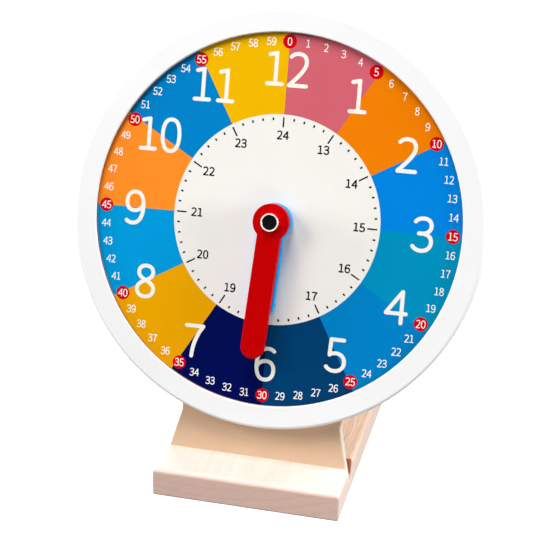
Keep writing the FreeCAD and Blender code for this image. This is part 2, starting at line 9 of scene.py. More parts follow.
import bmesh
import bpy
import numpy as np
from bpy.props import FloatProperty, FloatVectorProperty, PointerProperty
from mathutils import Matrix, Vector


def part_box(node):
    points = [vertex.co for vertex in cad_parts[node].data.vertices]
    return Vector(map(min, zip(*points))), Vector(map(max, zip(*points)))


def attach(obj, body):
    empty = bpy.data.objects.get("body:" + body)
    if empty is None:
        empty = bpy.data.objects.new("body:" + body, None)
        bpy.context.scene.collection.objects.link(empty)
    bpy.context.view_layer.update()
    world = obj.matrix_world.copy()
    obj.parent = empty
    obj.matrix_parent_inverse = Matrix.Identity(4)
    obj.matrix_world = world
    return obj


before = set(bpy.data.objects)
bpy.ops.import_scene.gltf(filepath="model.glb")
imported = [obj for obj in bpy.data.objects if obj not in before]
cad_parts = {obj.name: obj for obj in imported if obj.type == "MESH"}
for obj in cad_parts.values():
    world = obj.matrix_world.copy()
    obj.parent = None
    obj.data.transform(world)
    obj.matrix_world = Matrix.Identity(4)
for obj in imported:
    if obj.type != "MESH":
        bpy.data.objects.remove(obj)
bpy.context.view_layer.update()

bl_info = {
    "name": "Teaching Clock",
    "version": (1, 0, 0),
    "blender": (4, 5, 0),
    "location": "3D View > Sidebar > Clock",
    "description": "Prints the clock's dial, finishes its pieces and sets its studio",
    "category": "Object",
}

MM = 0.001
LEAN = math.radians(18)
ACROSS = Vector((1, 0, 0))
UP = Vector((0, math.sin(LEAN), math.cos(LEAN)))
OUT = Vector((0, -math.cos(LEAN), math.sin(LEAN)))
DIAL_THICKNESS = 3
DIAL_MIDDLE = sum(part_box("dial_board"), Vector()) / 2 + DIAL_THICKNESS / 2 * MM * OUT

# The print lies a little turned on the board, and shifted across and up by these millimetres.
PRINT_TURN = math.radians(0.83)
PRINT_SHIFT = (-0.1, 0.5)
PRINT_MIDDLE = DIAL_MIDDLE + (PRINT_SHIFT[0] * ACROSS + PRINT_SHIFT[1] * UP) * MM
PRINT_AXES = np.array([
    math.cos(PRINT_TURN) * ACROSS + math.sin(PRINT_TURN) * UP,
    math.cos(PRINT_TURN) * UP - math.sin(PRINT_TURN) * ACROSS,
    OUT,
])
FRAMES = {"dial": (DIAL_MIDDLE, (ACROSS, UP, OUT)), "print": (PRINT_MIDDLE, PRINT_AXES)}

# Centre lines of the digits, at the size of the hour numbers and about the middle of each digit's
# box. Two points make a straight stroke; more are the control points of joined cubic curves.
DIGIT_STROKES = {
    "0": [[(0, 11.4), (4.4, 11.4), (6.25, 6.9), (6.25, 0), (6.25, -6.9), (4.4, -11.4), (0, -11.4),
           (-4.4, -11.4), (-6.25, -6.9), (-6.25, 0), (-6.25, 6.9), (-4.4, 11.4), (0, 11.4)]],
    "1": [[(-4.4, 9.9), (0.6, 11.1)], [(0.5, 10.9), (0.5, -10.5)], [(-5.35, -10.6), (5.35, -10.6)]],
    "2": [[(-5.8, 9.1), (-4.6, 10.6), (-2.7, 11.4), (-0.5, 11.4), (3.3, 11.4), (5.5, 9.0), (5.5, 5.5),
           (5.5, 1.3), (1.0, -4.2), (-6.1, -10.8)], [(-6.1, -11.1), (6.2, -11.1)]],
    "3": [[(-5.5, 8.9), (-4.2, 10.5), (-2.2, 11.4), (0.1, 11.4), (3.7, 11.4), (5.8, 9.4), (5.8, 6.3),
           (5.8, 3.0), (3.3, 0.7), (-0.6, 0.7)],
          [(-2.6, 0.7), (-1.9, 0.7), (-1.2, 0.7), (-0.4, 0.7), (3.9, 0.7), (6.3, -1.7), (6.3, -5.1),
           (6.3, -8.9), (3.6, -11.4), (-0.4, -11.4), (-3.2, -11.4), (-5.2, -10.4), (-6.6, -8.5)]],
    "4": [[(3.7, 11.0), (-7.1, -4.2)], [(-7.1, -4.4), (7.1, -4.4)], [(3.9, 11.1), (3.9, -11.1)]],
    "5": [[(-3.9, 11.3), (5.1, 11.3)], [(-4.1, 11.3), (-4.6, 0.2)],
          [(-4.6, 0.2), (-3.3, 1.2), (-1.7, 1.6), (-0.2, 1.6), (3.8, 1.6), (6.3, -1.0), (6.3, -4.8),
           (6.3, -8.7), (3.4, -11.3), (-0.4, -11.3), (-3.0, -11.3), (-5.2, -10.3), (-6.5, -8.6)]],
    "6": [[(5.9, 9.7), (4.7, 10.8), (3.2, 11.4), (1.5, 11.4), (-3.4, 11.4), (-6.3, 6.9), (-6.3, -0.9),
           (-6.3, -7.9), (-4.0, -11.4), (0.2, -11.4), (3.9, -11.4), (6.3, -8.7), (6.3, -4.6),
           (6.3, -0.3), (4.2, 2.2), (0.6, 2.2), (-2.2, 2.2), (-4.8, 0.7), (-6.2, -2.0)]],
    "7": [[(-6.3, 11.1), (6.3, 11.1)], [(6.3, 11.0), (2.9, 6.4), (-0.8, -0.6), (-1.3, -11.0)]],
    "8": [[(0, 11.4), (3.3, 11.4), (5.4, 9.4), (5.4, 6.5), (5.4, 3.6), (2.9, 2.0), (0, 0.7),
           (-3.4, -0.8), (-6.2, -2.6), (-6.2, -5.8), (-6.2, -9.3), (-3.6, -11.4), (0, -11.4)],
          [(0, -11.4), (3.6, -11.4), (6.2, -9.2), (6.2, -5.8), (6.2, -2.7), (3.5, -0.9), (0, 0.7),
           (-2.9, 2.0), (-5.3, 3.7), (-5.3, 6.6), (-5.3, 9.5), (-3.2, 11.4), (0, 11.4)]],
    "9": [[(-5.9, -9.7), (-4.7, -10.8), (-3.2, -11.4), (-1.5, -11.4), (3.4, -11.4), (6.2, -6.9),
           (6.2, 0.9), (6.2, 7.9), (4.0, 11.4), (-0.2, 11.4), (-3.9, 11.4), (-6.2, 8.7), (-6.2, 4.6),
           (-6.2, 0.3), (-4.2, -2.2), (-0.6, -2.2), (2.2, -2.2), (4.8, -0.7), (6.1, 2.0)]],
}
DIGIT_HEIGHT = 22.8

# The middle of each digit of the hour numbers, across and up.
HOUR_DIGITS = [
    ("1", 52.0, 92.0), ("2", 90.2, 53.8), ("3", 105.7, -0.4), ("4", 91.7, -53.2), ("5", 51.5, -92.3),
    ("6", 0.6, -104.2), ("7", -53.6, -93.2), ("8", -93.4, -53.3), ("9", -105.2, -0.2),
    ("1", -98.9, 53.9), ("0", -82.1, 54.1), ("1", -61.2, 92.3), ("1", -43.9, 92.3),
    ("1", -8.9, 107.2), ("2", 7.9, 107.3),
]

# The numbers 13 to 24 stand a little right of their ring and above it. The 21 stands further in.
DAY_RISE = 0.5
DAY_SHIFT = 0.2
DAY_SHIFTS = {21: 1.7}

# The dial board is printed above this level, and raw fibreboard under it.
PRINTED_FROM = -0.2

# Ink starts inside the dial. Each later stroke of a digit lies a step higher, and an open stroke
# rises by a share of that step, so that no two tops share a level where they cross.
INK_FOOT = -0.02
LAYER_STEP = 0.01
RISE_SHARE = 0.8

# A bead of ink: its section, as shares of half the width and of the height, and the angles in
# degrees of the points that round its ends. A dot's edge has the same shoulder and a narrow bevel.
SHOULDER_SHARE = 0.7
SECTION_SHARES = [(-1, 0), (-1, SHOULDER_SHARE), (-0.93, 1), (0.93, 1), (1, SHOULDER_SHARE), (1, 0)]
END_TURNS = (20, 40, 58, 74, 86)
DOT_BEVEL = 0.06
DOT_SIDES = 48

# The slot in the stand, from front to back and from its floor to its top, in the part's frame. Inside it
# the pine is painted a darker brown as shade.
SLOT_DEPTHS = (-58, -33)
SLOT_LEVELS = (11, 21.5)

# The wall of the rim's opening is bare up to its bevel: just past the radius of that wall, and
# just under the level of the bevel's foot.
BARE_RADIUS = 133.74
BARE_LEVEL = 2.75

# Place, size and target of each light, in metres. Its power is the studio setting of its name.
LIGHTS = {
    "overhead": ((-0.09, -0.64, 2.61), (0.95, 1.3), DIAL_MIDDLE),
    "right": ((2.4, -0.35, 0.8), (0.95, 0.95), DIAL_MIDDLE),
    "left": ((-2.4, -0.35, 0.8), (0.95, 0.95), DIAL_MIDDLE),
    "front": ((-1.49, -1.34, 1.7), (0.95, 0.95), DIAL_MIDDLE),
    "low": ((0.22, -0.48, 0.06), (0.6, 0.1), Vector((0, -0.09, 0.01))),
    "back": ((1.38, 0.97, 1.6), (0.95, 0.95), Vector()),
    "rear": ((-0.8, 1.8, 0.3), (0.95, 0.4), DIAL_MIDDLE),
}
FLOOR_RADII = (0.5, 2, 6)
FLOOR_SIDES = 96
SENSOR_WIDTH = 36


def daylight(red, green, blue):
    """A screen colour, 0 to 255, as the linear light that a shader takes."""
    shares = np.array([red, green, blue]) / 255
    return tuple(np.where(shares < 0.04045, shares / 12.92, ((shares + 0.055) / 1.055) ** 2.4))


def colour(name, description, *screen):
    """A colour setting, from a screen colour."""
    return FloatVectorProperty(name=name, description=description, subtype="COLOR", size=3,
                               min=0, max=1, default=daylight(*screen))


def length(name, description, millimetres):
    """A length setting, kept in metres."""
    return FloatProperty(name=name, description=description, unit="LENGTH", subtype="DISTANCE",
                         min=0, precision=4, default=millimetres * MM)


def power(name, description, watts):
    """A light's power setting."""
    return FloatProperty(name=name, description=description, unit="POWER", min=0, default=watts)


class CLOCK_PG_print_sizes(bpy.types.PropertyGroup):
    """Sizes of the dial's print."""

    ink: length("Ink", "How far the printed marks stand above the dial", 0.03)
    cream_radius: length("Cream radius", "Radius of the cream middle of the dial", 75.5)
    hour_stroke: length("Hour stroke", "Stroke width of the hour numbers", 2.85)
    minute_radius: length("Minute radius", "Radius on which the minute numbers stand", 127)
    minute_height: length("Minute height", "Height of the minute numbers", 5.8)
    minute_stroke: length("Minute stroke", "Stroke width of the minute numbers", 0.65)
    five_stroke: length("Five stroke", "Stroke width of the numbers on the dots", 0.64)
    dot_radius: length("Dot radius", "Radius of the dots behind every fifth minute", 5.0)
    day_radius: length("Day radius", "Radius on which the numbers 13 to 24 stand", 60.2)
    day_height: length("Day height", "Height of the numbers 13 to 24", 6.6)
    day_stroke: length("Day stroke", "Stroke width of the numbers 13 to 24", 1.05)
    tick_inner: length("Tick start", "Radius at which the hour ticks start", 66.3)
    tick_outer: length("Tick end", "Radius at which the hour ticks end", 73.5)
    tick_width: length("Tick width", "Width of the hour ticks", 1.1)
    mark_radius: length("Mark radius", "Radius of the small marks between the ticks", 72.2)
    mark_length: length("Mark length", "Length of the small marks", 1.9)
    mark_width: length("Mark width", "Width of the small marks", 1.25)


class CLOCK_PG_print_colours(bpy.types.PropertyGroup):
    """Colours of the dial's print."""

    hour_12: colour("12 to 1", "Colour between the hours 12 and 1", 207, 98, 110)
    hour_1: colour("1 to 2", "Colour between the hours 1 and 2", 237, 126, 2)
    hour_2: colour("2 to 3", "Colour between the hours 2 and 3", 0, 130, 219)
    hour_3: colour("3 to 4", "Colour between the hours 3 and 4", 0, 142, 188)
    hour_4: colour("4 to 5", "Colour between the hours 4 and 5", 0, 128, 196)
    hour_5: colour("5 to 6", "Colour between the hours 5 and 6", 0, 61, 108)
    hour_6: colour("6 to 7", "Colour between the hours 6 and 7", 0, 11, 80)
    hour_7: colour("7 to 8", "Colour between the hours 7 and 8", 234, 164, 0)
    hour_8: colour("8 to 9", "Colour between the hours 8 and 9", 0, 152, 217)
    hour_9: colour("9 to 10", "Colour between the hours 9 and 10", 255, 141, 38)
    hour_10: colour("10 to 11", "Colour between the hours 10 and 11", 0, 127, 196)
    hour_11: colour("11 to 12", "Colour between the hours 11 and 12", 238, 181, 0)
    cream: colour("Cream", "Colour of the middle of the dial", 241, 238, 232)
    dot: colour("Dot", "Colour of the dots behind every fifth minute", 212, 0, 18)
    hour_ink: colour("Hour ink", "Colour of the hour numbers", 246, 242, 233)
    minute_ink: colour("Minute ink", "Colour of the minute numbers", 254, 251, 246)
    dark_ink: colour("Dark ink", "Colour of the ticks and of the numbers 13 to 24", 9, 13, 28)


class CLOCK_PG_finishes(bpy.types.PropertyGroup):
    """Colours of the wood, paint, metal and plastic."""

    pine: colour("Pine", "Early wood at the stand's front", 233, 214, 206)
    # Painted shade: the stand's top turns this tan towards the back, where the dial shades it; it is the
    # same wood as at the front.
    pine_tan: colour("Tan pine", "Early wood at the stand's back", 229, 203, 178)
    pine_ring: colour("Pine rings", "Late wood of the stand", 178, 124, 88)
    pine_end: colour("Pine end grain", "End grain of the stand", 247, 210, 195)
    # Painted shade: the darker brown inside the stand's slot, where little light reaches.
    slot: colour("Slot", "Sawn walls of the stand's slot", 186, 122, 86)
    board_face: colour("Board face", "Faces of the back board", 210, 178, 147)
    board_edge: colour("Board edge", "Edge of the back board", 224, 219, 210)
    fibreboard: colour("Fibreboard", "Raw fibreboard", 158, 112, 74)
    rim: colour("Rim", "White paint of the rim", 242, 242, 242)
    red: colour("Red", "Paint of the minute hand", 192, 0, 2)
    blue: colour("Blue", "Paint of the hour hand", 0, 158, 240)
    beech: colour("Beech", "Wood of the setting knob", 222, 178, 132)
    beech_ring: colour("Beech rings", "Darker wood of the setting knob", 190, 138, 92)
    brass: colour("Brass", "Bushes and pipe", 222, 186, 110)
    steel: colour("Steel", "Arbor, stud and washers", 176, 178, 182)
    zinc: colour("Zinc", "Plated screws", 190, 192, 186)
    # Painted reflection: on the ferrule's outward faces this near-white shows as diffuse colour, in place
    # of the studio's image in the chrome.
    chrome: colour("Chrome", "Ferrule in the minute hand's hub", 253, 253, 253)
    black: colour("Black", "Plug and collar", 9, 9, 10)
    acetal: colour("Acetal", "Gears", 236, 233, 222)


class CLOCK_PG_studio(bpy.types.PropertyGroup):
    """Camera and light."""

    lens: FloatProperty(name="Lens", min=10, max=400, default=106.4,
                        description="Focal length of the camera, in millimetres on a 36 mm frame")
    view_turn: FloatProperty(name="Turn", subtype="ANGLE", unit="ROTATION", default=math.radians(-12.155),
                             description="How far the camera sees the dial turned about its own y")
    view_tilt: FloatProperty(name="Tilt", subtype="ANGLE", unit="ROTATION", default=math.radians(5.945),
                             description="How far the dial is tilted about the picture's x")
    view_roll: FloatProperty(name="Roll", subtype="ANGLE", unit="ROTATION", default=math.radians(-5.348),
                             description="How far the picture is rolled")
    view_offset: FloatVectorProperty(name="Dial in view", subtype="TRANSLATION", unit="LENGTH", size=3,
                                     precision=4, default=(5.986 * MM, 33.296 * MM, -1130.226 * MM),
                                     description="Place of the dial's middle in the camera's frame")
    overhead: power("Overhead light", "Power of the soft light above the clock", 52)
    right: power("Right light", "Power of the light on the reader's right", 42)
    left: power("Left light", "Power of the light on the reader's left", 38)
    front: power("Front light", "Power of the light in front, on the left", 26)
    low: power("Low light", "Power of the strip that stands in for the table's light on the stand", 0.5)
    back: power("Back light", "Power of the light behind the clock", 38)
    rear: power("Rear light", "Power of the low light behind the clock, which fills its back", 24)
    room: FloatProperty(name="Room light", description="Strength of the pale room that the metal mirrors",
                        min=0, max=4, default=0.7)
    paper_glow: FloatProperty(name="Paper glow", description="Even light of the floor itself",
                              min=0, max=2, default=0.7)


class Finish:
    """A material under way. Each call adds a node and gives the socket that the next can take."""

    def __init__(self, name):
        self.material = bpy.data.materials.new(name)
        self.material.use_nodes = True
        self.tree = self.material.node_tree
        self.tree.nodes.clear()
        self.surface = self.add("ShaderNodeBsdfPrincipled")
        output = self.add("ShaderNodeOutputMaterial")
        self.tree.links.new(self.surface.outputs[0], output.inputs[0])
        coordinates = self.add("ShaderNodeTexCoord")
        self.object_place = coordinates.outputs["Object"]
        self.normal = coordinates.outputs["Normal"]

    def add(self, kind, **settings):
        """A new node with its settings."""
        node = self.tree.nodes.new(kind)
        for name, value in settings.items():
            setattr(node, name, value)
        return node

    def feed(self, socket, value):
        """Links a socket to another, or sets its value."""
        if isinstance(value, bpy.types.NodeSocket):
            self.tree.links.new(value, socket)
        elif socket.type == "RGBA" and len(value) == 3:
            socket.default_value = (*value, 1)
        else:
            socket.default_value = value

    def set(self, **values):
        """Gives the surface its settings, named as its sockets are, in small letters."""
        for name, value in values.items():
            self.feed(self.surface.inputs[name.replace("_", " ").title().replace("Ior", "IOR")], value)
        return self

    def place(self, which="dial"):
        """Object coordinates in millimetres, in the dial's, the print's or the part's frame."""
        node = self.add("ShaderNodeMapping", vector_type="TEXTURE")
        self.feed(node.inputs["Vector"], self.object_place)
        node.inputs["Scale"].default_value = (MM, MM, MM)
        if which in FRAMES:
            middle, axes = FRAMES[which]
            node.inputs["Location"].default_value = middle
            node.inputs["Rotation"].default_value = Matrix(axes).transposed().to_euler("XYZ")
        return node.outputs[0]

    def number(self, operation, *values):
        """A sum on plain numbers."""
        node = self.add("ShaderNodeMath", operation=operation)
        for socket, value in zip(node.inputs, values):
            self.feed(socket, value)
        return node.outputs[0]

    def vector(self, operation, *values):
        """A sum on vectors or colours."""
        node = self.add("ShaderNodeVectorMath", operation=operation)
        sockets = [node.inputs[0], node.inputs["Scale"]] if operation == "SCALE" else node.inputs
        for socket, value in zip(sockets, values):
            self.feed(socket, value)
        return node.outputs["Value" if operation in ("LENGTH", "DOT_PRODUCT") else "Vector"]

    def split(self, vector):
        """The x, y and z of a vector."""
        node = self.add("ShaderNodeSeparateXYZ")
        self.feed(node.inputs[0], vector)
        return tuple(node.outputs)

    def radius(self, place):
        """How far a place in the dial's or the print's frame is from the axis."""
        return self.vector("LENGTH", self.vector("MULTIPLY", place, (1, 1, 0)))

    def noise(self, place, per_mm, detail=2.0, roughness=0.5, as_vector=False):
        """A cloudy noise of so many features to a millimetre, with finer ones laid over them."""
        node = self.add("ShaderNodeTexNoise")
        self.feed(node.inputs["Vector"], place)
        node.inputs["Scale"].default_value = per_mm
        node.inputs["Detail"].default_value = detail
        node.inputs["Roughness"].default_value = roughness
        return node.outputs["Color" if as_vector else "Fac"]

    def ramp(self, value, stops, steps=False):
        """A colour or a shade for each share from 0 to 1, in steps or blended between the stops."""
        node = self.add("ShaderNodeValToRGB")
        node.color_ramp.interpolation = "CONSTANT" if steps else "LINEAR"
        elements = node.color_ramp.elements
        while len(elements) < len(stops):
            elements.new(1)
        for element, (share, shade) in zip(elements, stops):
            element.position = share
            element.color = (*shade, 1) if hasattr(shade, "__len__") else (shade, shade, shade, 1)
        self.feed(node.inputs[0], value)
        return node.outputs[0]

    def blend(self, share, first, second):
        """The first colour where the share is 0, and the second where it is 1."""
        node = self.add("ShaderNodeMix", data_type="RGBA")
        for name, value in (("Factor_Float", share), ("A_Color", first), ("B_Color", second)):
            self.feed(next(s for s in node.inputs if s.identifier == name), value)
        return next(s for s in node.outputs if s.identifier == "Result_Color")

    def between(self, value, low, high, start=0.25, end=0.75):
        """Spreads the values from start to end over low to high. A noise crowds about a half."""
        node = self.add("ShaderNodeMapRange")
        for name, setting in (("Value", value), ("From Min", start), ("From Max", end),
                              ("To Min", low), ("To Max", high)):
            self.feed(node.inputs[name], setting)
        return node.outputs[0]

    def shaded(self, tint, shade):
        """A colour made lighter or darker by a factor."""
        return self.vector("SCALE", tint, shade)

    def bump(self, height, millimetres):
        """Fine relief, so many millimetres high."""
        node = self.add("ShaderNodeBump")
        node.inputs["Strength"].default_value = 1
        node.inputs["Distance"].default_value = millimetres * MM
        self.feed(node.inputs["Height"], height)
        self.feed(self.surface.inputs["Normal"], node.outputs[0])

    def wood(self, place, along, pith, ring, early, late, depth=0.6):
        """Annual rings: the distance from the pith, warped by a slow noise, over the ring width.
        The late wood darkens towards each ring's end, and fibres streak along the grain."""
        def along_grain(stretch):
            return self.vector("MULTIPLY", place, [stretch if axis == along else 1 for axis in range(3)])
        sway = self.noise(along_grain(0.12), 0.022, 2, as_vector=True)
        moved = self.vector("MULTIPLY_ADD", sway, (26, 26, 26), place)
        from_pith = self.vector("SUBTRACT", moved, pith)
        cross = self.vector("MULTIPLY", from_pith, [0 if axis == along else 1 for axis in range(3)])
        rings = self.number("FRACT", self.number("DIVIDE", self.vector("LENGTH", cross), ring))
        late_wood = self.ramp(rings, [(0, 0.1), (0.5, 0.16), (0.86, 0.95), (0.94, 1), (1, 0.1)])
        fibre = self.noise(along_grain(0.02), 1.7, 4, 0.6)
        cloud = self.between(self.noise(along_grain(0.25), 0.05, 2), 0.2, 1)
        share = self.number("MULTIPLY", self.number("MULTIPLY", late_wood, cloud), depth)
        grained = self.blend(share, early, late)
        return self.shaded(grained, self.between(fibre, 0.93, 1.05)), fibre


def assign(finish, *nodes):
    """Gives a finish to carried-over CAD nodes, through their material slots."""
    for name in nodes:
        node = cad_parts[name]
        if not node.material_slots:
            node.data.materials.append(finish.material)
        for slot in node.material_slots:
            slot.material = finish.material


def build_piece(name, parts, finish, body):
    """One mesh from (vertices, faces) parts in the print's frame, at the origin and closed."""
    vertices, faces, start = [], [], 0
    for points, loops in parts:
        vertices.append(points)
        faces += [(np.asarray(loop) + start).tolist() for loop in loops]
        start += len(points)
    placed = np.array(PRINT_MIDDLE) + np.concatenate(vertices) @ PRINT_AXES * MM
    mesh = bpy.data.meshes.new(name)
    mesh.from_pydata(placed.tolist(), [], faces)
    shell = bmesh.new()
    shell.from_mesh(mesh)
    bmesh.ops.recalc_face_normals(shell, faces=shell.faces)
    shell.to_mesh(mesh)
    shell.free()
    mesh.materials.append(finish.material)
    piece = bpy.data.objects.new(name, mesh)
    bpy.context.scene.collection.objects.link(piece)
    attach(piece, body)
    return piece


def curve_points(controls, steps):
    """Points of joined cubic curves: each is the sum of its four controls by (1 - t)^3,
    3 (1 - t)^2 t, 3 (1 - t) t^2 and t^3, for t from 0 to 1."""
    controls = np.asarray(controls, float)
    if len(controls) == 2:
        return controls
    t = np.linspace(0, 1, steps, endpoint=False)
    weights = np.stack([(1 - t) ** 3, 3 * (1 - t) ** 2 * t, 3 * (1 - t) * t ** 2, t ** 3], axis=1)
    runs = np.stack([controls[k:len(controls) - 3 + k:3] for k in range(4)], axis=1)
    points = np.einsum("tk,rkc->rtc", weights, runs).reshape(-1, 2)
    return np.concatenate([points, controls[-1:]])


def ink_stroke(line, width, low, high, round_ends=True):
    """A bead of ink carried along a line. A row of the grid is the line's point plus side times
    half the width times the section's own share, from edge to edge, at the section's level. Past
    a round end the point moves on by half the width times sin a, and the row narrows by cos a. The
    top rises a little from the line's start to its end, so that an end lies on its own stroke."""
    line = np.asarray(line, float)
    closed = len(line) > 2 and np.allclose(line[0], line[-1])
    if closed:
        line = line[:-1]
        tangent = np.roll(line, -1, axis=0) - np.roll(line, 1, axis=0)
    else:
        tangent = np.gradient(line, axis=0)
    tangent /= np.linalg.norm(tangent, axis=1, keepdims=True)
    spread = np.ones(len(line))
    if round_ends and not closed:
        turn = np.radians(END_TURNS)
        ahead = np.sin(turn)[:, None] * width / 2
        first = np.repeat(tangent[:1], len(turn), axis=0)
        last = np.repeat(tangent[-1:], len(turn), axis=0)
        line = np.concatenate([line[:1] - first * ahead[::-1], line, line[-1:] + last * ahead])
        tangent = np.concatenate([first, tangent, last])
        spread = np.concatenate([np.cos(turn)[::-1], spread, np.cos(turn)])
    side = np.stack([-tangent[:, 1], tangent[:, 0]], axis=1)
    section = np.array(SECTION_SHARES)
    across = spread[:, None] * section[:, 0] * width / 2
    flat = line[:, None, :] + side[:, None, :] * across[..., None]
    top = high + (0 if closed else RISE_SHARE * LAYER_STEP) * np.linspace(0, 1, len(line))[:, None]
    level = low + (top - low) * section[:, 1]
    points = np.concatenate([flat, level[..., None]], axis=2).reshape(-1, 3)
    rows, columns = across.shape
    here, edge = np.meshgrid(np.arange(rows if closed else rows - 1), np.arange(columns), indexing="ij")
    after, beside = (here + 1) % rows, (edge + 1) % columns
    faces = np.stack([here * columns + edge, after * columns + edge, after * columns + beside,
                      here * columns + beside], axis=-1).reshape(-1, 4).tolist()
    if not closed:
        faces += [list(range(columns)), list(range((rows - 1) * columns, rows * columns))]
    return points, faces


def ring_faces(rings, sides):
    """Four-cornered faces between rings of so many points, each ring joined to the next."""
    ring, here = np.meshgrid(np.arange(rings - 1), np.arange(sides), indexing="ij")
    after = (here + 1) % sides
    return np.stack([ring * sides + here, ring * sides + after, (ring + 1) * sides + after,
                     (ring + 1) * sides + here], axis=-1).reshape(-1, 4).tolist()


def ink_disc(across, up, radius, low, high):
    """A flat dot: the profile (radius, level) carried round its middle, with both ends closed."""
    turn = np.linspace(0, 2 * np.pi, DOT_SIDES, endpoint=False)
    shoulder = low + SHOULDER_SHARE * (high - low)
    profile = np.array([(radius, low), (radius, shoulder), (radius - DOT_BEVEL, high)])
    points = np.stack([across + profile[:, :1] * np.cos(turn), up + profile[:, :1] * np.sin(turn),
                       np.broadcast_to(profile[:, 1:], (3, DOT_SIDES))], axis=-1).reshape(-1, 3)
    ends = [list(range(DOT_SIDES)), list(range(2 * DOT_SIDES, 3 * DOT_SIDES))]
    return points, ring_faces(3, DOT_SIDES) + ends


def inked_digit(digit, across, up, height, stroke, low, high, narrow=1.0, steps=8):
    """The strokes of a digit, so scaled that it is as high as asked from edge to edge."""
    scale = (height - stroke) / DIGIT_HEIGHT
    parts = []
    for layer, controls in enumerate(DIGIT_STROKES[digit]):
        line = curve_points(controls, steps) * [scale * narrow, scale] + [across, up]
        parts.append(ink_stroke(line, stroke, low, high + LAYER_STEP * layer))
    return parts


def inked_number(number, across, up, height, stroke, low, high, advance, narrow=1.0):
    """A number whose digits all take the same advance, centred on a point."""
    digits = str(number)
    parts = []
    for place, digit in enumerate(digits):
        shift = (place - (len(digits) - 1) / 2) * advance
        parts += inked_digit(digit, across + shift, up, height, stroke, low, high, narrow, steps=5)
    return parts


def on_circle(radius, share):
    """A point on a circle, a share of a turn clockwise from the top."""
    return radius * math.sin(2 * math.pi * share), radius * math.cos(2 * math.pi * share)


def ink_finish(name, tint):
    """Printed ink: a fine stipple, and a little cloud in its cover."""
    finish = Finish(name)
    place = finish.place()
    stipple = finish.noise(place, 2.6, 3, 0.6)
    cover = finish.noise(place, 0.12, 2)
    finish.set(base_color=finish.shaded(tint, finish.between(cover, 0.975, 1.01)),
               roughness=finish.between(stipple, 0.4, 0.52), specular_ior_level=0.03)
    finish.bump(stipple, 0.004)
    return finish


class ClockOperator:
    """What the clock's operators share."""

    bl_options = {"REGISTER", "UNDO"}

    @staticmethod
    def sizes(context):
        """The print's sizes, in millimetres."""
        group = context.scene.clock_print_sizes
        return {name: getattr(group, name) / MM for name in group.bl_rna.properties.keys()
                if isinstance(getattr(group, name), float)}


class CLOCK_OT_print_dial(ClockOperator, bpy.types.Operator):
    """Print the dial board's twelve colours and its cream middle"""

    bl_idname = "clock.print_dial"
    bl_label = "Print the dial"

    def execute(self, context):
        tints = context.scene.clock_print_colours
        sizes = self.sizes(context)
        finish = Finish("dial print")
        place = finish.place("print")
        x, y, z = finish.split(place)
        turn = finish.number("ARCTAN2", x, y)
        share = finish.number("FRACT", finish.number("MULTIPLY_ADD", turn, 0.5 / math.pi, 1.0))
        hours = [tints.hour_12] + [getattr(tints, f"hour_{hour}") for hour in range(1, 12)]
        sectors = finish.ramp(share, [(k / 12, tint) for k, tint in enumerate(hours)], steps=True)
        middle = finish.number("LESS_THAN", finish.radius(place), sizes["cream_radius"])
        printed = finish.blend(middle, sectors, tints.cream)
        front = finish.number("GREATER_THAN", z, PRINTED_FROM)
        raw = context.scene.clock_finishes.fibreboard
        stipple = finish.noise(place, 2.2, 3, 0.6)
        cover = finish.between(finish.noise(place, 0.03, 3), 0.975, 1.015)
        finish.set(base_color=finish.shaded(finish.blend(front, raw, printed), cover),
                   roughness=finish.between(stipple, 0.38, 0.5), specular_ior_level=0.03)
        finish.bump(stipple, 0.005)
        assign(finish, "dial_board")
        return {"FINISHED"}


class CLOCK_OT_print_hours(ClockOperator, bpy.types.Operator):
    """Print the large hour numbers"""

    bl_idname = "clock.print_hours"
    bl_label = "Print the hour numbers"

    def execute(self, context):
        sizes = self.sizes(context)
        parts = []
        for digit, across, up in HOUR_DIGITS:
            height = DIGIT_HEIGHT + sizes["hour_stroke"]
            parts += inked_digit(digit, across, up, height, sizes["hour_stroke"], INK_FOOT, sizes["ink"])
        finish = ink_finish("hour number ink", context.scene.clock_print_colours.hour_ink)
        build_piece("hour_numbers", parts, finish, "stand")
        return {"FINISHED"}


class CLOCK_OT_print_minutes(ClockOperator, bpy.types.Operator):
    """Print the red dots, the numbers on them and the other minute numbers"""

    bl_idname = "clock.print_minutes"
    bl_label = "Print the minute numbers"

    def execute(self, context):
        sizes = self.sizes(context)
        tints = context.scene.clock_print_colours
        ink = sizes["ink"]
        white = ink_finish("minute number ink", tints.minute_ink)
        dots, fives, ones = [], [], []
        for minute in range(60):
            across, up = on_circle(sizes["minute_radius"], minute / 60)
            height = sizes["minute_height"]
            if minute % 5:
                ones += inked_number(minute, across, up, height, sizes["minute_stroke"],
                                     INK_FOOT, ink, advance=3.55, narrow=0.9)
            else:
                dots.append(ink_disc(across, up, sizes["dot_radius"], INK_FOOT, ink))
                # A number on a dot starts inside the dot's ink and stands twice as high.
                fives += inked_number(minute, across, up, height, sizes["five_stroke"],
                                      0.5 * ink, 2 * ink, advance=3.6, narrow=0.92)
        build_piece("five_minute_dots", dots, ink_finish("dot ink", tints.dot), "stand")
        build_piece("five_minute_numbers", fives, white, "stand")
        build_piece("minute_numbers", ones, white, "stand")
        return {"FINISHED"}


